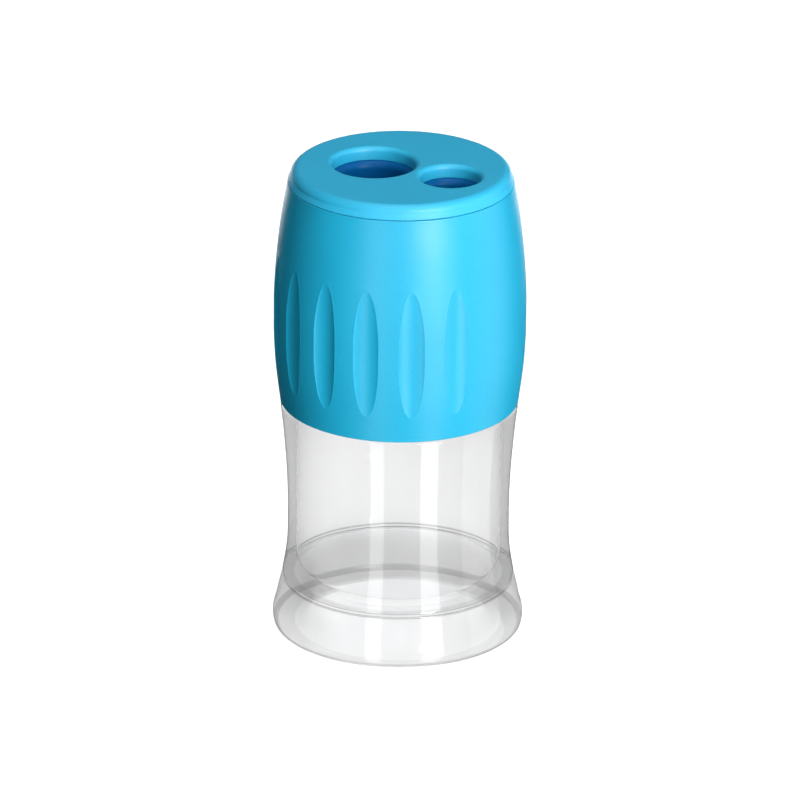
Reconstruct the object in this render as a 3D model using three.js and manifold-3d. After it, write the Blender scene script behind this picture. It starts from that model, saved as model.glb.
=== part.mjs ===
// Two-hole canister pencil sharpener.
// A barrel-shaped grip head with a two-hole cover carries one moulded sharpener block with two blades.
// The head is a push fit on the neck of a clear waisted cup, which stands on its own clear flared base.
// Millimetres, +Z up. The origin is the centre of the base's underside, and the two holes lie along X.

import * as THREE from 'three';
import { mergeVertices } from 'three/addons/utils/BufferGeometryUtils.js';
import Module from 'manifold-3d';

const wasm = await Module();
wasm.setup();

// ---------------------------------------------------------------- driving dimensions

const SEAM = 0.3;            // gap between two faces that rest on each other
const FIT = 0.3;             // radial gap of a push fit
const ROUND_STEPS = 48;      // facets round a turned shell
const BORE_STEPS = 32;       // facets round a bore
const SMALL_STEPS = 18;      // facets round a screw

const BASE_SEAM_Z = 8.85;    // joint line between base and cup
const HEAD_SEAM_Z = 40.3;    // joint line between cup and grip
const COVER_SEAM_Z = 78.95;  // joint line between grip and cover
const TOP_Z = 81.3;

const base = {
  soleRadius: 20.4, soleInnerRadius: 15.9, soleRound: 0.3,
  side: [[20.8, 0.35], [21.0, 1.4], [20.92, 2.6], [20.5, 4.1], [20.05, 6.2], [19.45, 8.7]],  // radius, height
  innerRadius: 14.6, innerFlareZ: 1.8,
};

const cup = {
  waist: [[19.4, 9.0], [18.68, 14], [18.52, 18.5], [18.64, 26], [19.2, 34], [19.8, 39.7]],  // radius, height
  shoulderRound: 0.4,
  floorZ: 9.95, floorRound: 2.9, boreRadius: 16.9,
  neckRadius: 17.7, neckHeight: 6.3, neckRound: 0.3,
  mouthRadius: 16.4, mouthTaperZ: 35.2,
  ribWidth: 1.8, ribHeight: 0.6, ribLength: 4.6, ribFootGap: 0.9,
};

const grip = {
  // radius, height
  barrel: [[19.9, 40.7], [20.72, 47.8], [21.0, 56], [20.68, 64], [19.85, 72], [18.76, 78.55]],
  edge: 0.25,
  sleeveDepth: 7.2,
  sleeveStep: 0.5,           // the sleeve widens to the wall over this height
  wallRadius: 18.2,          // inside of the wall above the sleeve
  ledgeRadius: 15.9, ledgeThickness: 1.6, ledgeSlope: 2.4,
  topBoreRadius: 17.3, topBoreDepth: 5.1,
};

const flute = {
  cutterRadius: 5.6,
  floorRadius: 20.43,        // how near to the axis the cutter comes
  pitch: THREE.MathUtils.degToRad(21),
  perSide: 6,
  endGap: [1, 5],            // how far from the grip's bottom and top the cutter stops
  steps: 40,
};

// The slot for a rib starts below the grip and stops short of the sleeve's end.
const ribSlot = { below: 1, aboveGap: 0.4 };

const cover = {
  radius: 18.7, draft: 0.45, edgeRadius: 1.4, rimEdge: 0.18,
  thickness: 2.2,
  skirtRadius: 17.0, skirtWall: 1.2, skirtDepth: 2.6, skirtRound: 0.3,
  holeRound: 0.8,
};

const block = {
  leadIn: 1.0, leadDepth: 1.2,   // a bore's mouth is wider than the bore, and narrows over this depth
  seatCut: 0.15,                 // the seat lies this far inside the cone, so that the cone opens onto it
  slotWidth: 2.4, slotDepth: 1.6, slotReach: 3,
  slotMargin: [1.5, 2],          // how far the chip slot stops from the blade's lower and upper ends
  slotLip: 0.1,                  // how far the slot reaches back past the cutting edge
  overlap: 0.5,
};

// One sharpening station per hole. x is the bore's place, and the cone runs from coneTopZ down to tipZ.
const jumbo = {
  name: 'jumbo', x: -5.0, holeRadius: 6.95, guideRadius: 6.0,
  coneTopZ: 72.5, tipZ: 49.5, tipRadius: 1.0, edgeLift: 0.3,
  bodyLeft: -13.5, bodyRight: 1.8, bodyBackTop: 7.4, bodyBackBottom: 3.0, bodyBottomZ: 48.2,
  bladeLength: 22, bladeWidth: 7.6, screwInset: 4.3,
};
const standard = {
  name: 'standard', x: 9.0, holeRadius: 5.05, guideRadius: 4.1,
  coneTopZ: 71.5, tipZ: 55.5, tipRadius: 0.8, edgeLift: 0,
  bodyLeft: 1.6, bodyRight: 14.1, bodyBackTop: 5.4, bodyBackBottom: 2.4, bodyBottomZ: 54.2,
  bladeLength: 17, bladeWidth: 7.0, screwInset: 3.9,
};
const stations = [jumbo, standard];

const blade = { thickness: 0.5, bevel: 1.3, edge: 0.02, gap: 0.3, holeRadius: 1.35 };
const screw = {
  radius: 1.0, depth: 1.9, point: 0.3,
  headRadius: 1.9, headHeight: 0.95, round: 0.5,
  slot: 0.55, slotDepth: 0.45, slotReach: 3,
};
const CLEAR = 1;             // how far a cutter runs past the face that it cuts

// ---------------------------------------------------------------- materials

const bluePlastic = new THREE.MeshStandardMaterial({ color: 0x23aee0, roughness: 0.42, metalness: 0 });
const coverPlastic = new THREE.MeshStandardMaterial({ color: 0x2ba9dc, roughness: 0.5, metalness: 0 });
const insertPlastic = new THREE.MeshStandardMaterial({ color: 0x0b4fa8, roughness: 0.35, metalness: 0 });
const clearPlastic = new THREE.MeshStandardMaterial({
  color: 0xf2f5f6, roughness: 0.05, metalness: 0, transparent: true, opacity: 0.35,
});
const bladeSteel = new THREE.MeshStandardMaterial({ color: 0xb4b8bc, roughness: 0.28, metalness: 1 });
const screwSteel = new THREE.MeshStandardMaterial({ color: 0xa8a294, roughness: 0.35, metalness: 1 });

// ---------------------------------------------------------------- helpers

const point = (radius, z) => new THREE.Vector2(radius, z);

// Points along an arc round (cx, cy), between two angles in degrees.
function arc(cx, cy, radius, from, to, steps) {
  return Array.from({ length: steps + 1 }, (_, i) => {
    const angle = THREE.MathUtils.degToRad(from + ((to - from) * i) / steps);
    return point(cx + radius * Math.cos(angle), cy + radius * Math.sin(angle));
  });
}

// Points along a smooth curve through knots of [radius, height].
function spline(knots, steps) {
  return new THREE.SplineCurve(knots.map(([radius, z]) => point(radius, z))).getPoints(steps);
}

// A solid of revolution about Z from a closed outline of (radius, z).
function turned(outline, steps) {
  const closed = THREE.ShapeUtils.area(outline) < 0 ? [...outline].reverse() : [...outline];
  closed.push(closed[0].clone());
  return toSolid(new THREE.LatheGeometry(closed, steps).rotateX(Math.PI / 2));
}

// A prism of an outline in the YZ plane, from x = left to x = right.
function prismAlongX(outline, left, right) {
  const shape = new THREE.Shape(outline);
  const geometry = new THREE.ExtrudeGeometry(shape, { depth: right - left, bevelEnabled: false });
  const axes = new THREE.Matrix4().makeBasis(
    new THREE.Vector3(0, 1, 0), new THREE.Vector3(0, 0, 1), new THREE.Vector3(1, 0, 0));
  return toSolid(geometry.applyMatrix4(axes).translate(left, 0, 0));
}

function box(x0, x1, y0, y1, z0, z1, matrix = new THREE.Matrix4()) {
  const geometry = new THREE.BoxGeometry(x1 - x0, y1 - y0, z1 - z0);
  geometry.translate((x0 + x1) / 2, (y0 + y1) / 2, (z0 + z1) / 2);
  return toSolid(geometry.applyMatrix4(matrix));
}

// A round rod along Z, about (x, y).
function rod(radius, x, y, z0, z1, steps, matrix = new THREE.Matrix4()) {
  const geometry = new THREE.CylinderGeometry(radius, radius, z1 - z0, steps).rotateX(Math.PI / 2);
  return toSolid(geometry.translate(x, y, (z0 + z1) / 2).applyMatrix4(matrix));
}

function toSolid(geometry) {
  const bare = geometry.index ? geometry.toNonIndexed() : geometry.clone();
  bare.deleteAttribute('normal');
  bare.deleteAttribute('uv');
  const merged = mergeVertices(bare, 1e-4);
  const all = merged.index.array;
  const kept = [];
  for (let i = 0; i < all.length; i += 3) {
    const [a, b, c] = [all[i], all[i + 1], all[i + 2]];
    if (a !== b && b !== c && c !== a) kept.push(a, b, c);
  }
  return new wasm.Manifold(new wasm.Mesh({
    numProp: 3,
    vertProperties: new Float32Array(merged.attributes.position.array),
    triVerts: new Uint32Array(kept),
  }));
}

function toMesh(solid, name, material) {
  const { vertProperties, triVerts, numProp } = solid.getMesh();
  const positions = new Float32Array((vertProperties.length / numProp) * 3);
  for (let i = 0; i < positions.length / 3; i++) {
    positions.set(vertProperties.subarray(i * numProp, i * numProp + 3), i * 3);
  }
  const geometry = new THREE.BufferGeometry();
  geometry.setAttribute('position', new THREE.BufferAttribute(positions, 3));
  geometry.setIndex(new THREE.BufferAttribute(new Uint32Array(triVerts), 1));
  geometry.computeVertexNormals();
  const mesh = new THREE.Mesh(geometry, material);
  mesh.name = name;
  return mesh;
}

// ---------------------------------------------------------------- base and cup

// The clear foot: a thick flared ring, open through the middle, that is bonded under the cup.
function makeBase() {
  const { soleRadius, soleInnerRadius, soleRound, innerRadius, innerFlareZ } = base;
  const topZ = BASE_SEAM_Z - SEAM / 2;
  const outline = [
    point(innerRadius, topZ),
    point(innerRadius, innerFlareZ),
    point(soleInnerRadius - soleRound, soleRound),
    point(soleInnerRadius, 0),
    point(soleRadius, 0),
    ...spline(base.side, 9),
  ];
  return toMesh(turned(outline, ROUND_STEPS), 'cup_base', clearPlastic);
}

// The clear body: a thin floor, a waisted wall, a shoulder that the grip rests on,
// and a neck with two guide ribs.
function makeCup() {
  const { floorZ, floorRound, boreRadius, neckRadius, neckRound } = cup;
  const { mouthRadius, mouthTaperZ, shoulderRound } = cup;
  const shoulderZ = HEAD_SEAM_Z - SEAM / 2;
  const shoulderRadius = cup.waist.at(-1)[0];
  const neckTopZ = shoulderZ + cup.neckHeight;
  const outline = [
    point(0, BASE_SEAM_Z + SEAM / 2),
    ...spline(cup.waist, 12),
    ...arc(shoulderRadius - shoulderRound, shoulderZ - shoulderRound, shoulderRound, 30, 90, 2),
    point(neckRadius, shoulderZ),
    point(neckRadius, neckTopZ - neckRound),
    point(neckRadius - neckRound, neckTopZ),
    point(mouthRadius, neckTopZ),
    point(mouthRadius, shoulderZ - neckRound),
    point(boreRadius, mouthTaperZ),
    ...arc(boreRadius - floorRound, floorZ + floorRound, floorRound, 0, -90, 4),
    point(0, floorZ),
  ];
  const ribOuter = neckRadius + cup.ribHeight;
  const ribInner = neckRadius - cup.ribHeight;
  const ribZ = shoulderZ + cup.ribFootGap;
  const halfWidth = cup.ribWidth / 2;
  const body = turned(outline, ROUND_STEPS)
    .add(box(ribInner, ribOuter, -halfWidth, halfWidth, ribZ, ribZ + cup.ribLength))
    .add(box(-ribOuter, -ribInner, -halfWidth, halfWidth, ribZ, ribZ + cup.ribLength));
  return toMesh(body, 'shavings_cup', clearPlastic);
}

// ---------------------------------------------------------------- head

// Heights that the grip, the cover and the block share.
const coverUnderZ = TOP_Z - cover.thickness;
const coverRimZ = COVER_SEAM_Z + SEAM / 2;
const skirtZ = coverRimZ - cover.skirtDepth;
const gripTopZ = COVER_SEAM_Z - SEAM / 2;
const ledgeZ = gripTopZ - grip.topBoreDepth;

// The barrel shell: a sleeve that takes the cup's neck, finger flutes on its front and its back,
// and a ledge inside that carries the block's flange.
function makeGrip() {
  const bottomZ = HEAD_SEAM_Z + SEAM / 2;
  const sleeveRadius = cup.neckRadius + FIT;
  const sleeveZ = bottomZ + grip.sleeveDepth;
  const { edge, wallRadius, ledgeRadius, ledgeThickness, ledgeSlope, topBoreRadius, sleeveStep } = grip;
  const underLedgeZ = ledgeZ - ledgeThickness;
  const outline = [
    point(sleeveRadius + edge, bottomZ),
    point(grip.barrel[0][0] - edge, bottomZ),
    ...spline(grip.barrel, 16),
    point(grip.barrel.at(-1)[0] - edge, gripTopZ),
    point(topBoreRadius, gripTopZ),
    point(topBoreRadius, ledgeZ),
    point(ledgeRadius, ledgeZ),
    point(ledgeRadius, underLedgeZ),
    point(topBoreRadius, underLedgeZ - ledgeSlope),
    point(wallRadius, underLedgeZ - 3 * ledgeSlope),
    point(wallRadius, sleeveZ + sleeveStep),
    point(sleeveRadius, sleeveZ),
    point(sleeveRadius, bottomZ + edge),
  ];
  let shell = turned(outline, ROUND_STEPS);
  const axisRadius = flute.floorRadius + flute.cutterRadius;
  const fluteLowZ = bottomZ + flute.endGap[0];
  const fluteHighZ = gripTopZ - flute.endGap[1];
  for (const facing of [-Math.PI / 2, Math.PI / 2]) {
    for (let i = 0; i < flute.perSide; i++) {
      const angle = facing + (i - (flute.perSide - 1) / 2) * flute.pitch;
      const x = axisRadius * Math.cos(angle);
      const y = axisRadius * Math.sin(angle);
      shell = shell.subtract(rod(flute.cutterRadius, x, y, fluteLowZ, fluteHighZ, flute.steps));
    }
  }
  const slotHalf = cup.ribWidth / 2 + FIT;
  const slotOuter = cup.neckRadius + cup.ribHeight + FIT;
  const slotLowZ = bottomZ - ribSlot.below;
  const slotHighZ = sleeveZ - ribSlot.aboveGap;
  const slot = box(-slotOuter, slotOuter, -slotHalf, slotHalf, slotLowZ, slotHighZ);
  return toMesh(shell.subtract(slot), 'grip_housing', bluePlastic);
}

// The flat cover with a rounded rim, two round-edged holes and a skirt that plugs into the grip.
function makeCover() {
  const { radius, draft, edgeRadius, rimEdge, skirtRadius, skirtWall, skirtRound, holeRound } = cover;
  const skirtInner = skirtRadius - skirtWall;
  const outline = [
    point(0, coverUnderZ),
    point(skirtInner, coverUnderZ),
    point(skirtInner, skirtZ + skirtRound),
    point(skirtInner + skirtRound, skirtZ),
    point(skirtRadius - skirtRound, skirtZ),
    point(skirtRadius, skirtZ + skirtRound),
    point(skirtRadius, coverRimZ),
    point(radius - rimEdge, coverRimZ),
    point(radius, coverRimZ + rimEdge),
    ...arc(radius - draft - edgeRadius, TOP_Z - edgeRadius, edgeRadius, 0, 90, 6),
    point(0, TOP_Z),
  ];
  let plate = turned(outline, ROUND_STEPS);
  for (const { x, holeRadius } of stations) {
    const trumpet = turned([
      point(0, coverUnderZ - CLEAR),
      point(holeRadius, coverUnderZ - CLEAR),
      ...arc(holeRadius + holeRound, TOP_Z - holeRound, holeRound, 180, 90, 4),
      point(holeRadius + holeRound, TOP_Z + CLEAR),
      point(0, TOP_Z + CLEAR),
    ], BORE_STEPS);
    plate = plate.subtract(trumpet.translate([x, 0, 0]));
  }
  return toMesh(plate, 'top_cover', coverPlastic);
}

// ---------------------------------------------------------------- sharpening stations

// A station's slope, and the frame of its cutting edge: x across, y up the edge, z out of the block.
function edgeFrame(station) {
  const { x, guideRadius, tipRadius, coneTopZ, tipZ, edgeLift } = station;
  const slope = Math.atan((guideRadius - tipRadius) / (coneTopZ - tipZ));
  const middleZ = (coneTopZ + tipZ) / 2 + edgeLift;
  const middleY = -(tipRadius + (middleZ - tipZ) * Math.tan(slope));
  return { slope, position: new THREE.Vector3(x, middleY, middleZ), tilt: Math.PI / 2 + slope };
}

function edgeMatrix(station) {
  const { position, tilt } = edgeFrame(station);
  return new THREE.Matrix4().makeRotationX(tilt).setPosition(position);
}

// The wedge under one bore: its front face is the blade's seat, set a little way into the cone.
function stationBody(station, topZ) {
  const { slope } = edgeFrame(station);
  const front = (z) => block.seatCut - (station.tipRadius + (z - station.tipZ) * Math.tan(slope));
  const backAt = (z) => THREE.MathUtils.mapLinear(
    z, station.bodyBottomZ, topZ, station.bodyBackBottom, station.bodyBackTop);
  return prismAlongX([
    point(front(station.bodyBottomZ), station.bodyBottomZ),
    point(station.bodyBackBottom, station.bodyBottomZ),
    point(backAt(topZ), topZ),
    point(front(topZ), topZ),
  ], station.bodyLeft, station.bodyRight);
}

// Everything that is cut out of the block at one station: bore, cone, chip slot and screw hole.
function stationCut(station, topZ) {
  const { x, guideRadius, tipRadius, coneTopZ, tipZ, bodyBottomZ, bladeLength, screwInset } = station;
  const frame = edgeMatrix(station);
  const bore = turned([
    point(0, bodyBottomZ - CLEAR),
    point(tipRadius, bodyBottomZ - CLEAR),
    point(tipRadius, tipZ),
    point(guideRadius, coneTopZ),
    point(guideRadius, topZ - block.leadDepth),
    point(guideRadius + block.leadIn, topZ),
    point(guideRadius + block.leadIn, topZ + CLEAR),
    point(0, topZ + CLEAR),
  ], BORE_STEPS).translate([x, 0, 0]);
  const slotLow = block.slotMargin[0] - bladeLength / 2;
  const slotHigh = bladeLength / 2 - block.slotMargin[1];
  const chipSlot = box(
    -block.slotLip, block.slotWidth, slotLow, slotHigh, -block.slotDepth, block.slotReach, frame);
  const screwHole = rod(blade.holeRadius, -screwInset, 0, -screw.depth - FIT, CLEAR, SMALL_STEPS, frame);
  return bore.add(chipSlot).add(screwHole);
}

// One moulding: a boss that nests in the cover's skirt, a flange clamped between the skirt and the grip's
// ledge, and a wedge for each bore.
function makeBlock() {
  const topZ = coverUnderZ - SEAM;
  const flangeZ = ledgeZ + SEAM;
  const flangeTopZ = skirtZ - SEAM;
  const flangeRadius = grip.topBoreRadius - FIT;
  const bossRadius = cover.skirtRadius - cover.skirtWall - FIT;
  let solid = turned([
    point(0, flangeZ),
    point(flangeRadius, flangeZ),
    point(flangeRadius, flangeTopZ),
    point(bossRadius, flangeTopZ),
    point(bossRadius, topZ),
    point(0, topZ),
  ], ROUND_STEPS);
  for (const station of stations) solid = solid.add(stationBody(station, flangeZ + block.overlap));
  for (const station of stations) solid = solid.subtract(stationCut(station, topZ));
  return toMesh(solid, 'sharpener_block', insertPlastic);
}

// A flat steel strip, bevelled to its edge along x = 0, with one screw hole.
function makeBlade({ name, bladeLength, bladeWidth, screwInset }) {
  const low = blade.gap;
  const high = blade.gap + blade.thickness;
  const profile = new THREE.Shape([
    point(-bladeWidth, low),
    point(-blade.edge, low),
    point(-blade.bevel, high),
    point(-bladeWidth, high),
  ]);
  const strip = new THREE.ExtrudeGeometry(profile, { depth: bladeLength, bevelEnabled: false });
  strip.rotateX(Math.PI / 2).translate(0, bladeLength / 2, 0);
  const screwHole = rod(blade.holeRadius, -screwInset, 0, low - CLEAR, high + CLEAR, SMALL_STEPS);
  return toMesh(toSolid(strip).subtract(screwHole), `${name}_blade`, bladeSteel);
}

// A short pan-head screw with a straight slot.
function makeScrew({ name, screwInset }) {
  const headZ = blade.gap + blade.thickness + SEAM;
  const topZ = headZ + screw.headHeight;
  const body = turned([
    point(0, -screw.depth),
    point(screw.radius - screw.point, -screw.depth),
    point(screw.radius, screw.point - screw.depth),
    point(screw.radius, headZ),
    point(screw.headRadius, headZ),
    ...arc(screw.headRadius - screw.round, topZ - screw.round, screw.round, 0, 90, 3),
    point(0, topZ),
  ], SMALL_STEPS);
  const { slotReach } = screw;
  const halfSlot = screw.slot / 2;
  const slot = box(-slotReach, slotReach, -halfSlot, halfSlot, topZ - screw.slotDepth, topZ + CLEAR);
  const mesh = toMesh(body.subtract(slot), `${name}_blade_screw`, screwSteel);
  mesh.position.x = -screwInset;
  return mesh;
}

// ---------------------------------------------------------------- assembly

const head = new THREE.Group();
head.add(makeGrip(), makeCover(), makeBlock());
for (const station of stations) {
  const { position, tilt } = edgeFrame(station);
  const seat = new THREE.Group();
  seat.position.copy(position);
  seat.rotation.x = tilt;
  seat.add(makeBlade(station), makeScrew(station));
  head.add(seat);
}

const canister = new THREE.Group();
canister.add(makeBase(), makeCup());

const sharpener = new THREE.Group();
sharpener.add(canister, head);

export default sharpener;
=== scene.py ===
# Two-hole canister pencil sharpener: blue barrel grip and cover, dark blue blade block, clear cup and base.
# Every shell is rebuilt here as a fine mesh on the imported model, and rides on its body.
import math

import bmesh
import bpy
import numpy as np
from mathutils import Matrix, Vector


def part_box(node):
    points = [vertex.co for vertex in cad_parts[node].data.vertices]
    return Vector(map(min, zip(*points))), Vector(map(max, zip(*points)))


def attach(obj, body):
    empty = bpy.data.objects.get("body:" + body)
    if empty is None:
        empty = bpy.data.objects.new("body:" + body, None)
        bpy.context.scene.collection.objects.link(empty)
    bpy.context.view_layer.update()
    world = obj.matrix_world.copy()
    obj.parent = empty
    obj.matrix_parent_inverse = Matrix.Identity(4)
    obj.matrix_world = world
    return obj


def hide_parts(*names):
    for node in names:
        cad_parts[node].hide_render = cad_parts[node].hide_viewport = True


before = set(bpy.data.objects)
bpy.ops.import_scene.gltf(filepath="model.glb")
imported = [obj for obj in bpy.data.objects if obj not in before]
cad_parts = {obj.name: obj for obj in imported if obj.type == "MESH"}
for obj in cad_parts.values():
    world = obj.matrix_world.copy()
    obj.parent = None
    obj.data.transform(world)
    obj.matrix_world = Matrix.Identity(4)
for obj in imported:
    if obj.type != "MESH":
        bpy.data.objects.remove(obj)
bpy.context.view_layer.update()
mm = 0.001

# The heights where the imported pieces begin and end, in millimetres.
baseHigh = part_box("cup_base")[1] / mm
cupLow, cupHigh = [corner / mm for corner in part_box("shavings_cup")]
gripLow, gripHigh = [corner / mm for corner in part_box("grip_housing")]
coverLow, coverHigh = [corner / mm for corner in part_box("top_cover")]
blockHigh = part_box("sharpener_block")[1] / mm
seam = 0.3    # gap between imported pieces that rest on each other
headSeamZ = gripLow.z - seam / 2
coverSeamZ = gripHigh.z + seam / 2
ledgeDepth = 5.1    # from the grip's top down to the ledge that the block rests on
ledgeZ = gripHigh.z - ledgeDepth


# Mesh building. Profiles are lists of (radius, height) in millimetres.

def arcPoints(centreR, centreZ, radius, startDegrees, endDegrees, steps):
    angles = np.radians(np.linspace(startDegrees, endDegrees, steps + 1))
    return [(centreR + radius * math.cos(a), centreZ + radius * math.sin(a)) for a in angles]


def smoothLine(knots, steps):
    # A Catmull-Rom curve through the knots, the same curve that the solids follow.
    knots = np.array(knots, float)
    last = len(knots) - 1
    points = []
    for i in range(steps + 1):
        place = last * i / steps
        k = min(int(place), last - 1) if place < last else last
        t = place - k
        p0, p1 = knots[max(k - 1, 0)], knots[k]
        p2, p3 = knots[min(k + 1, last)], knots[min(k + 2, last)]
        v0, v1 = (p2 - p0) / 2, (p3 - p1) / 2
        points.append(tuple((2 * p1 - 2 * p2 + v0 + v1) * t ** 3
                            + (-3 * p1 + 3 * p2 - 2 * v0 - v1) * t ** 2 + v0 * t + p1))
    return points


def evenAngles(count):
    return np.linspace(0, 2 * math.pi, count, endpoint=False)


def turnedObject(name, profile, angles, shapeRadius=None, centre=(0, 0), sharpDegrees=32):
    # Spins a closed profile about Z. shapeRadius(angle, radius, height) can carve it.
    angles = np.asarray(angles)
    rows = len(profile)
    radii = np.array([[r for r, z in profile]] * len(angles))
    heights = np.array([z for r, z in profile])
    if shapeRadius is not None:
        radii = shapeRadius(angles[:, None], radii, heights[None, :])
    points = np.zeros((len(angles), rows, 3))
    points[..., 0] = radii * np.cos(angles)[:, None] + centre[0]
    points[..., 1] = radii * np.sin(angles)[:, None] + centre[1]
    points[..., 2] = heights[None, :]
    area = sum(profile[i - 1][0] * profile[i][1] - profile[i][0] * profile[i - 1][1] for i in range(rows))
    faces = []
    for a in range(len(angles)):
        b = (a + 1) % len(angles)
        for r in range(rows):
            s = (r + 1) % rows
            quad = (a * rows + r, b * rows + r, b * rows + s, a * rows + s)
            faces.append(quad if area > 0 else quad[::-1])
    return meshObject(name, points.reshape(-1, 3) * mm, faces, sharpDegrees)


def meshObject(name, points, faces, sharpDegrees=32):
    mesh = bpy.data.meshes.new(name)
    mesh.from_pydata([tuple(p) for p in points], [], faces)
    piece = bpy.data.objects.new(name, mesh)
    bpy.context.scene.collection.objects.link(piece)
    cleanMesh(piece, sharpDegrees)
    return piece


def cleanMesh(piece, sharpDegrees=32):
    work = bmesh.new()
    work.from_mesh(piece.data)
    bmesh.ops.remove_doubles(work, verts=work.verts, dist=1e-7)
    bmesh.ops.dissolve_degenerate(work, edges=work.edges, dist=1e-8)
    bmesh.ops.recalc_face_normals(work, faces=work.faces)
    work.to_mesh(piece.data)
    work.free()
    piece.data.shade_smooth()
    piece.data.set_sharp_from_angle(angle=math.radians(sharpDegrees))


def boxObject(name, low, high):
    corners = [(x, y, z) for x in (low[0], high[0]) for y in (low[1], high[1]) for z in (low[2], high[2])]
    faces = [(0, 1, 3, 2), (4, 6, 7, 5), (0, 4, 5, 1), (2, 3, 7, 6), (0, 2, 6, 4), (1, 5, 7, 3)]
    return meshObject(name, np.array(corners) * mm, faces)


def prismObject(name, outline, low, high, matrix=None):
    # An outline of (y, z) points carried along X from low to high.
    count = len(outline)
    points = [(low, y, z) for y, z in outline] + [(high, y, z) for y, z in outline]
    faces = [tuple(range(count)), tuple(range(2 * count - 1, count - 1, -1))]
    faces += [(i, i + count, (i + 1) % count + count, (i + 1) % count) for i in range(count)]
    piece = meshObject(name, np.array(points) * mm, faces)
    if matrix is not None:
        piece.data.transform(matrix)
    return piece


def combine(piece, tool, operation):
    # Cuts or joins another solid, and removes it.
    modifier = piece.modifiers.new("combine", "BOOLEAN")
    modifier.operation = operation
    modifier.solver = "EXACT"
    modifier.object = tool
    bpy.context.view_layer.update()
    depsgraph = bpy.context.evaluated_depsgraph_get()
    result = bpy.data.meshes.new_from_object(piece.evaluated_get(depsgraph))
    piece.modifiers.clear()
    old = piece.data
    piece.data = result
    bpy.data.meshes.remove(old)
    bpy.data.objects.remove(tool)
    result.name = piece.name


def flattenNormals(piece):
    # Keeps the shading of flats flat beside their rounded edges.
    weighted = piece.modifiers.new("normals", "WEIGHTED_NORMAL")
    weighted.keep_sharp = True
    weighted.weight = 100


# Materials. Texture places are in metres on the piece, so a scale of 1000 gives millimetre detail.

class Nodes:
    def __init__(self, name):
        self.material = bpy.data.materials.new(name)
        self.material.use_nodes = True
        self.tree = self.material.node_tree
        self.shader = self.tree.nodes["Principled BSDF"]
        self.place = self.tree.nodes.new("ShaderNodeTexCoord").outputs["Object"]

    def noise(self, scale, detail=3.0, stretch=None):
        node = self.tree.nodes.new("ShaderNodeTexNoise")
        node.inputs["Scale"].default_value = scale
        node.inputs["Detail"].default_value = detail
        source = self.place
        if stretch is not None:
            mapping = self.tree.nodes.new("ShaderNodeMapping")
            mapping.inputs["Scale"].default_value = stretch
            self.tree.links.new(self.place, mapping.inputs["Vector"])
            source = mapping.outputs["Vector"]
        self.tree.links.new(source, node.inputs["Vector"])
        return node.outputs["Fac"]

    def spread(self, value, low, high, fromLow=0.3, fromHigh=0.7):
        node = self.tree.nodes.new("ShaderNodeMapRange")
        node.inputs["From Min"].default_value = fromLow
        node.inputs["From Max"].default_value = fromHigh
        node.inputs["To Min"].default_value = low
        node.inputs["To Max"].default_value = high
        self.tree.links.new(value, node.inputs["Value"])
        return node.outputs["Result"]

    def blendColours(self, factor, first, second):
        node = self.tree.nodes.new("ShaderNodeMix")
        node.data_type = "RGBA"
        sockets = [s for s in node.inputs if s.type == "RGBA"]
        sockets[0].default_value = (*first, 1)
        sockets[1].default_value = (*second, 1)
        self.tree.links.new(factor, node.inputs["Factor"])
        return [s for s in node.outputs if s.type == "RGBA"][0]

    def scaleColour(self, colour, factor):
        # Darkens or lightens a colour by a factor.
        node = self.tree.nodes.new("ShaderNodeVectorMath")
        node.operation = "SCALE"
        self.tree.links.new(colour, node.inputs[0])
        self.tree.links.new(factor, node.inputs["Scale"])
        return node.outputs["Vector"]

    def math(self, operation, value, other):
        node = self.tree.nodes.new("ShaderNodeMath")
        node.operation = operation
        self.tree.links.new(value, node.inputs[0])
        if isinstance(other, float):
            node.inputs[1].default_value = other
        else:
            self.tree.links.new(other, node.inputs[1])
        return node.outputs["Value"]

    def beyondRadius(self, radius):
        # 1 further than radius from the upright axis and 0 nearer to it.
        flat = self.tree.nodes.new("ShaderNodeVectorMath")
        flat.operation = "MULTIPLY"
        flat.inputs[1].default_value = (1, 1, 0)
        self.tree.links.new(self.place, flat.inputs[0])
        length = self.tree.nodes.new("ShaderNodeVectorMath")
        length.operation = "LENGTH"
        self.tree.links.new(flat.outputs["Vector"], length.inputs[0])
        return self.math("GREATER_THAN", length.outputs["Value"], radius)

    def ringAt(self, height, halfWidth):
        # 1 on a soft ring at one height and 0 elsewhere.
        parts = self.tree.nodes.new("ShaderNodeSeparateXYZ")
        self.tree.links.new(self.place, parts.inputs["Vector"])
        away = self.math("ABSOLUTE", self.math("SUBTRACT", parts.outputs["Z"], height), 0.0)
        return self.spread(away, 1, 0, halfWidth / 2, halfWidth)

    def bumps(self, layers):
        # Each layer is (height, strength, distance in millimetres).
        normal = None
        for height, strength, distance in layers:
            node = self.tree.nodes.new("ShaderNodeBump")
            node.inputs["Strength"].default_value = strength
            node.inputs["Distance"].default_value = distance * mm
            self.tree.links.new(height, node.inputs["Height"])
            if normal is not None:
                self.tree.links.new(normal, node.inputs["Normal"])
            normal = node.outputs["Normal"]
        self.tree.links.new(normal, self.shader.inputs["Normal"])

    def feed(self, value, socket):
        self.tree.links.new(value, self.shader.inputs[socket])

    def absorb(self, colour, density):
        # Takes light off by the thickness that it passes through.
        node = self.tree.nodes.new("ShaderNodeVolumeAbsorption")
        node.inputs["Color"].default_value = (*colour, 1)
        node.inputs["Density"].default_value = density
        self.tree.links.new(node.outputs["Volume"], self.tree.nodes["Material Output"].inputs["Volume"])

    def fix(self, **sockets):
        for name, value in sockets.items():
            self.shader.inputs[name.replace("_", " ")].default_value = value


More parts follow.
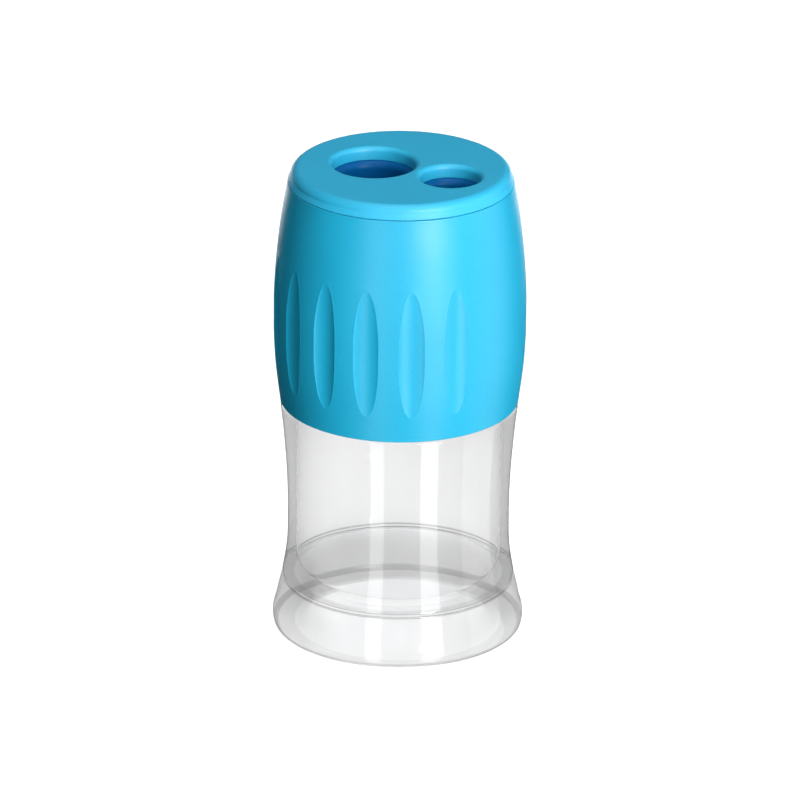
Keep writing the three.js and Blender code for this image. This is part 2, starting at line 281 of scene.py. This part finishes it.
def mouldedPlastic(name, look):
    # Satin coloured plastic: a spark-eroded grain, a slow waviness and a little colour drift.
    nodes = Nodes(name)
    drift = nodes.spread(nodes.noise(look["driftScale"], 2), 0, 1)
    grain = nodes.noise(look["grainScale"], 2)
    colour = nodes.blendColours(drift, look["colour"], look["deeper"])
    nodes.feed(nodes.scaleColour(colour, nodes.spread(grain, *look["speckle"])), "Base Color")
    nodes.feed(nodes.spread(grain, *look["roughness"]), "Roughness")
    wave = nodes.noise(look["waveScale"], 1)
    layers = [(wave, look["waveDepth"], look["waveHeight"]), (grain, look["grainDepth"], look["grainHeight"])]
    if look["ringDepth"]:
        # Level lines left by the core pin.
        rings = nodes.noise(look["ringScale"], 1, stretch=(0.02, 0.02, 1))
        layers.append((rings, look["ringDepth"], look["ringHeight"]))
    nodes.bumps(layers)
    nodes.fix(IOR=look["ior"], Coat_Weight=look["coat"])
    return nodes.material


def clearPlastic(name, look):
    # Polished clear styrene: a little cloudy, greyer the thicker it is, with two thin lines of painted shade:
    # one along the joint where the two mouldings are bonded, one standing for the dark refraction round the
    # foot's lower edge.
    nodes = Nodes(name)
    skin = nodes.beyondRadius(look["skinRadius"])
    cloud = nodes.noise(look["cloudScale"], 3, stretch=(1, 1, 0.2))
    clear = nodes.blendColours(nodes.spread(cloud, 0, 1, *look["cloudRange"]), look["colour"], look["cloudy"])
    # Painted shade: darkens the colour on a ring at each line's height, beyond its radius.
    for height, halfWidth, radius, shade in look["lines"]:
        ring = nodes.math("MULTIPLY", nodes.ringAt(height, halfWidth), nodes.beyondRadius(radius))
        clear = nodes.scaleColour(clear, nodes.spread(ring, 1, shade, 0, 1))
    nodes.feed(clear, "Base Color")
    nodes.feed(nodes.spread(skin, look["insideGloss"], look["gloss"], 0, 1), "Coat Weight")
    marks = nodes.noise(look["markScale"], 4, stretch=(1, 1, 0.25))
    nodes.feed(nodes.spread(marks, *look["roughness"], *look["markRange"]), "Roughness")
    wave = nodes.noise(look["waveScale"], 1, stretch=(1, 1, 0.35))
    nodes.bumps([(wave, look["waveDepth"], look["waveHeight"])])
    nodes.fix(IOR=look["ior"], Transmission_Weight=1.0)
    nodes.fix(Coat_Roughness=look["glossRoughness"], Coat_IOR=look["glossIor"])
    nodes.absorb(look["absorbed"], look["density"])
    return nodes.material


def groundSteel(name, look):
    # Steel with grinding lines along one direction.
    nodes = Nodes(name)
    lines = nodes.noise(look["lineScale"], 4, stretch=look["stretch"])
    nodes.feed(nodes.blendColours(nodes.spread(lines, 0, 1), look["colour"], look["deeper"]), "Base Color")
    nodes.feed(nodes.spread(lines, *look["roughness"]), "Roughness")
    nodes.bumps([(lines, look["lineDepth"], look["lineHeight"])])
    nodes.fix(Metallic=1.0)
    return nodes.material


def dress(piece, material, node, body):
    piece.data.materials.clear()
    piece.data.materials.append(material)
    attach(piece, body)
    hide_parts(node)
    print("made", piece.name, len(piece.data.vertices), "points")
    return piece


# The clear foot: a thick flared ring, open through the middle, bonded under the cup.

# The bend of light is kept low, so that the thin floor of the cup doesn't trap it.
# Each painted shade line is its height, half its width, its least radius and how light it is.
clearLook = {
    "colour": (0.958, 0.959, 0.961), "cloudy": (0.885, 0.886, 0.889), "cloudScale": 70,
    "cloudRange": (0.35, 0.75), "markScale": 2600, "markRange": (0.45, 0.8),
    "absorbed": (0.5, 0.5, 0.5), "density": 64,
    "roughness": (0.03, 0.09), "waveScale": 110, "waveDepth": 0.05, "waveHeight": 0.3, "ior": 1.01,
    "gloss": 0.85, "insideGloss": 0.02, "glossRoughness": 0.06, "glossIor": 1.5, "skinRadius": 17.3 * mm,
    "lines": [
        # Painted shade along the bond joint between cup and foot.
        ((baseHigh.z + cupLow.z) / 2 * mm, 0.5 * mm, 19.15 * mm, 0.4),
        # Painted shade standing for the dark refraction round the foot's lower edge.
        (0.35 * mm, 0.6 * mm, 20.1 * mm, 0.62),
    ],
}
# Painted light: the foot is the same styrene as the cup, given a lighter colour and a lower absorption
# density so that it shows lighter.
footLook = dict(clearLook, colour=(0.985, 0.986, 0.988), density=50, ior=1.0, gloss=0.9)

footShape = {
    "soleOut": 20.3, "soleIn": 15.9, "soleRound": 0.3, "bore": 14.6, "flareZ": 1.8,
    "side": [(20.55, 0.12), (20.8, 0.35), (21.0, 1.4), (20.92, 2.6), (20.5, 4.1), (20.05, 6.2), (19.45, 8.7)],
    "topRound": 0.3, "margin": 0.005,
}


def makeFoot(shape):
    topZ = baseHigh.z
    widest = baseHigh.x - shape["margin"]
    outer = [(min(r, widest), z) for r, z in smoothLine(shape["side"], 60)]
    rounded = shape["topRound"]
    sole = shape["soleRound"]
    profile = [(shape["bore"], topZ), (shape["bore"], shape["flareZ"])]
    profile += arcPoints(shape["soleIn"] + sole, sole, sole, 200, 270, 5)
    profile += [(shape["soleOut"], 0)] + outer[:-1]
    profile += arcPoints(outer[-1][0] - rounded, topZ - rounded, rounded, 10, 90, 4)
    piece = turnedObject("clearFoot", profile, evenAngles(192))
    return dress(piece, clearPlastic("clearFootStyrene", footLook), "cup_base", "cup")


# The clear cup: thin floor, waisted wall, shoulder, and a neck with two guide ribs.

cupShape = {
    "waist": [(19.4, 9.0), (18.68, 14), (18.52, 18.5), (18.64, 26), (19.2, 34), (19.8, 39.7)],
    "shoulderRound": 0.35, "bore": 16.9, "floorZ": 9.95, "floorRound": 2.9,
    "neck": 17.7, "neckRound": 0.3, "mouth": 16.4, "mouthDrop": 0.3, "mouthFlare": 0.2, "mouthTaperZ": 35.2,
    "underRound": 0.3,
    "ribWidth": 1.8, "ribHeight": 0.6, "ribLow": 0.9, "ribLength": 4.6, "ribRoot": 0.5,
}


def makeCup(shape):
    shoulderZ = headSeamZ - seam / 2
    underZ = cupLow.z
    outer = smoothLine(shape["waist"], 80)
    under, neckTopZ = shape["underRound"], cupHigh.z
    profile = [(0, underZ)]
    profile += arcPoints(outer[0][0] - under, underZ + under, under, 270, 350, 4)
    profile += [row for row in outer if row[1] > underZ + under]
    profile += arcPoints(outer[-1][0] - shape["shoulderRound"], shoulderZ - shape["shoulderRound"],
                         shape["shoulderRound"], 10, 90, 6)
    profile += [(shape["neck"], shoulderZ)]
    profile += arcPoints(shape["neck"] - shape["neckRound"], neckTopZ - shape["neckRound"],
                         shape["neckRound"], 0, 90, 4)
    profile += arcPoints(shape["mouth"] + shape["neckRound"], neckTopZ - shape["neckRound"],
                         shape["neckRound"], 90, 180, 4)
    taperZ = shape["mouthTaperZ"]
    profile += smoothLine([(shape["mouth"], shoulderZ - shape["mouthDrop"]),
                           (shape["mouth"] + shape["mouthFlare"], (shoulderZ + taperZ) / 2),
                           (shape["bore"], taperZ)], 16)
    profile += arcPoints(shape["bore"] - shape["floorRound"], shape["floorZ"] + shape["floorRound"],
                         shape["floorRound"], 0, -90, 16)
    profile += [(0, shape["floorZ"])]
    piece = turnedObject("clearCup", profile, evenAngles(192))
    for side in (-1, 1):
        root, crest = shape["neck"] - shape["ribRoot"], shape["neck"] + shape["ribHeight"]
        edges = sorted((side * root, side * crest))
        ribZ = shoulderZ + shape["ribLow"]
        rib = boxObject("rib", (edges[0], -shape["ribWidth"] / 2, ribZ),
                        (edges[1], shape["ribWidth"] / 2, ribZ + shape["ribLength"]))
        combine(piece, rib, "UNION")
    cleanMesh(piece)
    piece.visible_shadow = False    # clear plastic lets the light through
    return dress(piece, clearPlastic("clearCupStyrene", clearLook), "shavings_cup", "cup")


# The grip: a barrel shell with lens-shaped finger scoops, a sleeve for the neck and a ledge for the block.

bluePlasticLook = {
    "colour": (0.009, 0.335, 0.53), "deeper": (0.008, 0.32, 0.51), "roughness": (0.36, 0.45),
    "driftScale": 90, "waveScale": 140, "waveDepth": 0.12, "waveHeight": 0.25,
    "grainScale": 4600, "grainDepth": 0.5, "grainHeight": 0.02, "speckle": (0.93, 1.05),
    "ringDepth": 0.0, "ior": 1.5, "coat": 0.0,
}

gripShape = {
    "barrel": [(19.9, 40.7), (20.72, 47.8), (21.0, 56), (20.68, 64), (19.85, 72), (18.76, 78.55)],
    "edge": 0.18, "edgeStep": 0.02, "seamGap": 0.06, "topRise": 0.1, "margin": 0.005,
    "sleeve": 18.0, "sleeveTop": 47.65, "wall": 18.2,
    "ledge": 15.9, "ledgeZ": ledgeZ, "ledgeThickness": 1.6, "ledgeSlope": 2.4, "slopeBulge": 0.7,
    "topBore": 17.3,
    "slotWidth": 2.4, "slotRadius": 18.6, "slotTop": 47.25,
}
scoop = {
    "cutter": 5.6, "floor": 20.43, "pitch": 21.0, "perSide": 6, "edgeSoftness": 0.02,
    "lip": 0.03, "lipSpread": 0.05, "columns": 85, "columnReach": 0.62, "wideColumn": 2.0,
    "skin": 0.15, "plainLow": 1, "plainHigh": 4,    # where the barrel stays plain, in from its surfaces
}
slotSliver = 0.004    # a column just beyond each side of a slot, as a share of its half angle


def scoopCentres():
    steps = np.arange(scoop["perSide"]) - (scoop["perSide"] - 1) / 2
    return np.radians(np.concatenate([facing + steps * scoop["pitch"] for facing in (-90, 90)]))


def gripAngles():
    # Fine columns across each scoop and at the slots' sides, and wide ones between.
    reach = math.asin(scoop["cutter"] / (scoop["floor"] + scoop["cutter"])) * scoop["columnReach"]
    slotHalf = math.asin(gripShape["slotWidth"] / 2 / gripShape["slotRadius"])
    marks = [np.linspace(c - reach, c + reach, scoop["columns"]) for c in scoopCentres()]
    for side in (0, math.pi):
        marks.append(np.array([side + s * slotHalf * k for s in (-1, 1) for k in (1, 1 + slotSliver)]))
    fine = np.sort(np.mod(np.concatenate(marks), 2 * math.pi))
    gaps = np.diff(np.append(fine, fine[0] + 2 * math.pi))
    wide = math.radians(scoop["wideColumn"])
    extra = [start + gap * i / math.ceil(gap / wide)
             for start, gap in zip(fine, gaps) if gap > wide for i in range(1, math.ceil(gap / wide))]
    return np.sort(np.mod(np.concatenate([fine, extra]), 2 * math.pi))


def carveGrip(angle, radius, height):
    radius = radius.copy()
    # Outside, the scoops: the barrel is met by upright cylinders, with a soft edge between.
    outside = radius > gripShape["slotRadius"] + scoop["skin"]
    outside = outside & (height > gripLow.z + scoop["plainLow"]) & (height < gripHigh.z - scoop["plainHigh"])
    centreR = scoop["floor"] + scoop["cutter"]
    carved = radius.copy()
    soft = scoop["edgeSoftness"]
    for centre in scoopCentres():
        off = np.arctan2(np.sin(angle - centre), np.cos(angle - centre))
        inside = scoop["cutter"] ** 2 - (centreR * np.sin(off)) ** 2
        near = (inside > 0) & (np.cos(off) > 0)
        wall = centreR * np.cos(off) - np.sqrt(np.where(near, inside, 0))
        least = np.minimum(carved, wall) - soft * np.log1p(np.exp(-np.abs(carved - wall) / soft))
        lip = scoop["lip"] * np.exp(-((radius - wall) / scoop["lipSpread"]) ** 2)
        carved = np.where(near & outside, least + lip, carved)
    # Inside, the two slots that the cup's ribs slide in.
    slotHalf = math.asin(gripShape["slotWidth"] / 2 / gripShape["slotRadius"]) * (1 + slotSliver / 2)
    fromSide = np.abs(np.arctan2(np.sin(2 * angle), np.cos(2 * angle))) / 2
    inSlot = (fromSide < slotHalf) & (carved < gripShape["slotRadius"]) & (height < gripShape["slotTop"])
    return np.where(inSlot, gripShape["slotRadius"], carved)


def makeGrip(shape):
    lowZ = headSeamZ + shape["seamGap"]
    highZ = gripHigh.z + shape["topRise"]
    underLedge = shape["ledgeZ"] - shape["ledgeThickness"]
    widest = gripHigh.x - scoop["lip"] - shape["margin"]    # leaves room for the raised lips round the scoops
    outer = [(min(r, widest), z) for r, z in smoothLine(shape["barrel"], 260)]
    profile = [(shape["sleeve"] + shape["edge"], lowZ)]
    edge = shape["edge"]
    profile += arcPoints(outer[0][0] - edge - shape["edgeStep"], lowZ + edge, edge, 270, 355, 5)
    profile += outer
    profile += arcPoints(outer[-1][0] - edge, highZ - edge, edge, 20, 90, 5)
    profile += [(shape["topBore"], highZ), (shape["topBore"], shape["ledgeZ"])]
    profile += [(shape["ledge"], shape["ledgeZ"]), (shape["ledge"], underLedge)]
    slope = shape["ledgeSlope"]
    profile += smoothLine([(shape["topBore"] - shape["slopeBulge"], underLedge - slope / 2),
                           (shape["topBore"], underLedge - slope),
                           (shape["wall"], underLedge - 3 * slope)], 12)
    profile += [(shape["wall"], shape["sleeveTop"] + 0.5), (shape["sleeve"], shape["sleeveTop"])]
    profile += [(shape["sleeve"], shape["slotTop"] + 0.01), (shape["sleeve"], shape["slotTop"] - 0.01)]
    profile += [(shape["sleeve"], lowZ + shape["edge"])]
    piece = turnedObject("barrelGrip", profile, gripAngles(), carveGrip)
    return dress(piece, mouldedPlastic("gripPlastic", bluePlasticLook), "grip_housing", "head")


# The cover: a flat disc with a rounded rim, two round-edged holes and a skirt.

coverLook = dict(bluePlasticLook, colour=(0.018, 0.366, 0.585), deeper=(0.016, 0.35, 0.565),
                 roughness=(0.42, 0.52))
coverShape = {
    "radius": 18.7, "draft": 0.45, "edge": 1.4, "thickness": 2.2, "rimRound": 0.09,
    "skirt": 17.0, "skirtWall": 1.2, "skirtRound": 0.3, "holeRound": 0.8, "seamGap": 0.04,
}
stations = {
    "jumbo": {
        "x": -5.0, "hole": 6.95, "guide": 6.0, "coneTop": 72.5, "tip": 49.5, "tipRadius": 1.0, "lift": 0.3,
        "left": -13.5, "right": 1.8, "backTop": 7.4, "backLow": 3.0, "low": 48.2,
        "bladeLength": 22.0, "bladeWidth": 7.6, "screwInset": 4.3,
    },
    "standard": {
        "x": 9.0, "hole": 5.05, "guide": 4.1, "coneTop": 71.5, "tip": 55.5, "tipRadius": 0.8, "lift": 0.0,
        "left": 1.6, "right": 14.1, "backTop": 5.4, "backLow": 2.4, "low": 54.2,
        "bladeLength": 17.0, "bladeWidth": 7.0, "screwInset": 3.9,
    },
}


def makeCover(shape):
    topZ = coverHigh.z
    rimZ = coverSeamZ + shape["seamGap"]
    underZ = topZ - shape["thickness"]
    skirtZ = coverLow.z
    inner = shape["skirt"] - shape["skirtWall"]
    top = shape["radius"] - shape["draft"] - shape["edge"]
    profile = [(0, underZ), (inner, underZ)]
    fold, rim = shape["skirtRound"], shape["rimRound"]
    profile += arcPoints(inner + fold, skirtZ + fold, fold, 180, 270, 4)
    profile += arcPoints(shape["skirt"] - fold, skirtZ + fold, fold, 270, 360, 4)
    profile += [(shape["skirt"], rimZ)]
    profile += arcPoints(shape["radius"] - rim, rimZ + rim, rim, 270, 350, 4)
    profile += arcPoints(top, topZ - shape["edge"], shape["edge"], 0, 90, 18)
    profile += [(0, topZ)]
    piece = turnedObject("cover", profile, evenAngles(240))
    for station in stations.values():
        hole, fillet = station["hole"], shape["holeRound"]
        cutter = [(0, underZ - 3), (hole, underZ - 3)]
        cutter += arcPoints(hole + fillet, topZ - fillet, fillet, 180, 92, 14)
        cutter += [(hole + fillet, topZ + 1), (0, topZ + 1)]
        tool = turnedObject("cutter", cutter, evenAngles(144), centre=(station["x"], 0))
        combine(piece, tool, "DIFFERENCE")
    cleanMesh(piece, 30)
    flattenNormals(piece)
    return dress(piece, mouldedPlastic("coverPlastic", coverLook), "top_cover", "head")


# The blade block: one dark blue moulding with a boss, a flange and a wedge under each bore.

insertLook = {
    "colour": (0.0003, 0.085, 0.26), "deeper": (0.0003, 0.075, 0.24), "roughness": (0.3, 0.4),
    "driftScale": 90, "waveScale": 140, "waveDepth": 0.12, "waveHeight": 0.25,
    "grainScale": 6000, "grainDepth": 0.05, "grainHeight": 0.02, "speckle": (0.97, 1.02),
    "ringDepth": 0.6, "ringScale": 2400, "ringHeight": 0.03, "ior": 1.2, "coat": 0.0,
}
blockShape = {
    "flange": 17.0, "flangeZ": ledgeZ + seam, "flangeTop": coverLow.z - seam, "seatCut": 0.15,
    "lift": 0.24,    # the boss all but meets the cover
    "boss": 15.5, "leadIn": 1.0, "leadDepth": 1.2,
    "slotWidth": 2.4, "slotDepth": 1.6, "slotLip": 0.1, "slotLow": 1.5, "slotHigh": 2, "slotReach": 3,
    "overlap": 0.5, "screwHole": 1.35, "screwDepth": 2.2,
}


def slopeOf(station):
    return math.atan((station["guide"] - station["tipRadius"]) / (station["coneTop"] - station["tip"]))


def seatMatrix(station):
    # The frame of a cutting edge: x across the blade, y up its length, z out of the block.
    slope = slopeOf(station)
    middleZ = (station["coneTop"] + station["tip"]) / 2 + station["lift"]
    middleY = -(station["tipRadius"] + (middleZ - station["tip"]) * math.tan(slope))
    place = Matrix.Translation(Vector((station["x"], middleY, middleZ)) * mm)
    return place @ Matrix.Rotation(math.pi / 2 + slope, 4, "X")


def makeBlock(shape):
    topZ = blockHigh.z + shape["lift"]
    flange, boss, flangeTop = shape["flange"], shape["boss"], shape["flangeTop"]
    profile = [(0, shape["flangeZ"]), (flange, shape["flangeZ"]), (flange, flangeTop),
               (boss, flangeTop), (boss, topZ), (0, topZ)]
    piece = turnedObject("bladeBlock", profile, evenAngles(120))
    wedgeTop = shape["flangeZ"] + shape["overlap"]
    for station in stations.values():
        run = math.tan(slopeOf(station))
        front = [shape["seatCut"] - (station["tipRadius"] + (z - station["tip"]) * run)
                 for z in (station["low"], wedgeTop)]
        wedge = prismObject("wedge", [(front[0], station["low"]), (station["backLow"], station["low"]),
                                      (station["backTop"], wedgeTop), (front[1], wedgeTop)],
                            station["left"], station["right"])
        combine(piece, wedge, "UNION")
    for station in stations.values():
        guide, tip, tipZ = station["guide"], station["tipRadius"], station["tip"]
        bore = [(0, station["low"] - 1), (tip, station["low"] - 1), (tip, tipZ), (guide, station["coneTop"]),
                *[(guide + shape["leadIn"] * (1 - math.cos(a)), topZ + shape["leadDepth"] * (math.sin(a) - 1))
                  for a in np.radians(np.linspace(0, 88, 13))],
                (guide + shape["leadIn"], topZ + 1), (0, topZ + 1)]
        combine(piece, turnedObject("bore", bore, evenAngles(96), centre=(station["x"], 0)), "DIFFERENCE")
        half = station["bladeLength"] / 2
        slot = boxObject("slot", (-shape["slotLip"], shape["slotLow"] - half, -shape["slotDepth"]),
                         (shape["slotWidth"], half - shape["slotHigh"], shape["slotReach"]))
        slot.data.transform(seatMatrix(station))
        combine(piece, slot, "DIFFERENCE")
        hole = turnedObject("hole", [(0, -shape["screwDepth"]), (shape["screwHole"], -shape["screwDepth"]),
                                     (shape["screwHole"], 1), (0, 1)], evenAngles(48),
                            centre=(-station["screwInset"], 0))
        hole.data.transform(seatMatrix(station))
        combine(piece, hole, "DIFFERENCE")
    cleanMesh(piece, 28)
    material = mouldedPlastic("insertPlastic", insertLook)
    return dress(piece, material, "sharpener_block", "head")


# Blades and screws, one of each at a bore.

bladeShape = {"gap": 0.3, "thickness": 0.5, "bevel": 1.3, "edge": 0.02, "hole": 1.35}
bladeLook = {"colour": (0.7, 0.71, 0.72), "deeper": (0.6, 0.61, 0.63), "roughness": (0.16, 0.3),
             "lineScale": 900, "lineDepth": 0.25, "lineHeight": 0.01, "stretch": (1, 12, 1)}
screwShape = {"gap": 1.1, "radius": 1.0, "depth": 1.9, "head": 1.9, "headHeight": 0.95, "round": 0.5,
              "slot": 0.55, "slotDepth": 0.45, "point": 0.3}
screwLook = {"colour": (0.66, 0.64, 0.58), "deeper": (0.5, 0.48, 0.43), "roughness": (0.25, 0.4),
             "lineScale": 2600, "lineDepth": 0.25, "lineHeight": 0.01, "stretch": (1, 1, 1)}


def makeBlade(name, station, material):
    low = bladeShape["gap"]
    high = low + bladeShape["thickness"]
    half, width = station["bladeLength"] / 2, station["bladeWidth"]
    section = [(-width, low), (-bladeShape["edge"], low), (-bladeShape["bevel"], high), (-width, high)]
    turn = Matrix(((0, 1, 0, 0), (1, 0, 0, 0), (0, 0, 1, 0), (0, 0, 0, 1)))
    piece = prismObject(name + "Blade", section, -half, half, turn)
    hole = turnedObject("hole", [(0, low - 1), (bladeShape["hole"], low - 1), (bladeShape["hole"], high + 1),
                                 (0, high + 1)], evenAngles(64), centre=(-station["screwInset"], 0))
    combine(piece, hole, "DIFFERENCE")
    piece.data.transform(seatMatrix(station))
    cleanMesh(piece, 20)
    return dress(piece, material, name + "_blade", "head")


def makeScrew(name, station, material):
    shape = screwShape
    headZ, topZ = shape["gap"], shape["gap"] + shape["headHeight"]
    point, radius, low = shape["point"], shape["radius"], -shape["depth"]
    profile = [(0, low), (radius - point, low), (radius, point + low)]
    profile += [(radius, headZ), (shape["head"], headZ)]
    profile += arcPoints(shape["head"] - shape["round"], topZ - shape["round"], shape["round"], 0, 90, 8)
    profile += [(0, topZ)]
    piece = turnedObject(name + "Screw", profile, evenAngles(64))
    combine(piece, boxObject("slot", (-3, -shape["slot"] / 2, topZ - shape["slotDepth"]),
                             (3, shape["slot"] / 2, topZ + 1)), "DIFFERENCE")
    piece.data.transform(seatMatrix(station) @ Matrix.Translation((-station["screwInset"] * mm, 0, 0)))
    cleanMesh(piece, 30)
    return dress(piece, material, name + "_blade_screw", "head")


makeFoot(footShape)
makeCup(cupShape)
makeGrip(gripShape)
makeCover(coverShape)
makeBlock(blockShape)
bladeMaterial = groundSteel("groundBladeSteel", bladeLook)
screwMaterial = groundSteel("platedScrewSteel", screwLook)
for stationName, stationValues in stations.items():
    makeBlade(stationName, stationValues, bladeMaterial)
    makeScrew(stationName, stationValues, screwMaterial)


# The stage: pale floor, soft light and the camera.

stage = {
    "floorSize": 60.0, "floorColour": (0.5, 0.5, 0.5), "floorGlow": 0.74,
    "skyColour": (1.0, 1.0, 1.0), "skyStrength": 0.18, "skyLow": -0.1, "skyHigh": 0.3, "floorDrop": 0.1,
}
camera = {"azimuth": 26.0, "elevation": 22.41, "distance": 1.3, "height": 0.03978, "lens": 350.9,
          "roll": 0.477, "shift": 0.0009}
# azimuth and elevation say where each light stands round the object, in degrees.
lights = {
    "keyPanel": {"azimuth": 58, "elevation": 0, "distance": 0.8, "width": 0.26, "height": 1.4, "power": 5.2},
    "keySpot": {"azimuth": 54, "elevation": 18, "distance": 0.8, "width": 0.22, "height": 0.4, "power": 6.0},
    "frontStrip": {"azimuth": 4, "elevation": 0, "distance": 0.8, "width": 0.2, "height": 1.5, "power": 3.4},
    "sidePanel": {"azimuth": 116, "elevation": 0, "distance": 0.8, "width": 0.6, "height": 1.3, "power": 3.4},
    "topPanel": {"azimuth": 40, "elevation": 82, "distance": 0.9, "width": 0.6, "height": 0.6, "power": 3.6},
    "backPanel": {"azimuth": 206, "elevation": -9, "distance": 1.0, "width": 1, "height": 0.3, "power": 4.6},
}


def placeRound(azimuth, elevation, distance):
    a, e = math.radians(azimuth), math.radians(elevation)
    target = Vector((0, 0, camera["height"]))
    return target + distance * Vector((math.sin(a) * math.cos(e), -math.cos(a) * math.cos(e), math.sin(e)))


def aim(thing, location, roll=0.0):
    back = (location - Vector((0, 0, camera["height"]))).normalized()
    right = Vector((0, 0, 1)).cross(back).normalized()
    up = back.cross(right)
    c, s = math.cos(math.radians(roll)), math.sin(math.radians(roll))
    right, up = c * right + s * up, c * up - s * right
    thing.matrix_world = Matrix((
        (right.x, up.x, back.x, location.x), (right.y, up.y, back.y, location.y),
        (right.z, up.z, back.z, location.z), (0, 0, 0, 1)))


def makeFloor():
    half = stage["floorSize"] / 2
    mesh = bpy.data.meshes.new("floor")
    corners = [(-half, -half, 0), (half, -half, 0), (half, half, 0), (-half, half, 0)]
    mesh.from_pydata(corners, [], [(0, 1, 2, 3)])
    floor = bpy.data.objects.new("floor", mesh)
    floor.location.z = -stage["floorDrop"] * mm
    bpy.context.scene.collection.objects.link(floor)
    nodes = Nodes("floorPaper")
    nodes.fix(Base_Color=(*stage["floorColour"], 1), Roughness=0.8, Emission_Color=(1, 1, 1, 1),
              Emission_Strength=stage["floorGlow"])
    floor.data.materials.append(nodes.material)
    # The panels reach below the floor, and the floor shows but throws no light or shadow on the object.
    floor.visible_diffuse = False
    floor.visible_glossy = False
    floor.visible_shadow = False


def makeLights():
    world = bpy.data.worlds.new("studio")
    world.use_nodes = True
    background = world.node_tree.nodes["Background"]
    # Pale above the horizon and dark below it.
    tree = world.node_tree
    direction = tree.nodes.new("ShaderNodeTexCoord")
    parts = tree.nodes.new("ShaderNodeSeparateXYZ")
    rise = tree.nodes.new("ShaderNodeMapRange")
    rise.inputs["From Min"].default_value = stage["skyLow"]
    rise.inputs["From Max"].default_value = stage["skyHigh"]
    rise.inputs["To Max"].default_value = stage["skyStrength"]
    tree.links.new(direction.outputs["Generated"], parts.inputs["Vector"])
    tree.links.new(parts.outputs["Z"], rise.inputs["Value"])
    tree.links.new(rise.outputs["Result"], background.inputs["Strength"])
    background.inputs["Color"].default_value = (*stage["skyColour"], 1)
    bpy.context.scene.world = world
    for name, values in lights.items():
        data = bpy.data.lights.new(name, "AREA")
        data.shape = "RECTANGLE"
        data.size, data.size_y = values["width"], values["height"]
        data.energy = values["power"]
        light = bpy.data.objects.new(name, data)
        bpy.context.scene.collection.objects.link(light)
        aim(light, placeRound(values["azimuth"], values["elevation"], values["distance"]))


def makeCamera():
    data = bpy.data.cameras.new("view")
    data.lens = camera["lens"]
    data.sensor_width = 36
    data.shift_x = camera["shift"]
    data.clip_start, data.clip_end = 0.05, 20
    viewer = bpy.data.objects.new("view", data)
    bpy.context.scene.collection.objects.link(viewer)
    aim(viewer, placeRound(camera["azimuth"], camera["elevation"], camera["distance"]), camera["roll"])
    bpy.context.scene.camera = viewer


makeFloor()
makeLights()
makeCamera()
bpy.context.scene.view_settings.view_transform = "Standard"
print("stage ready")
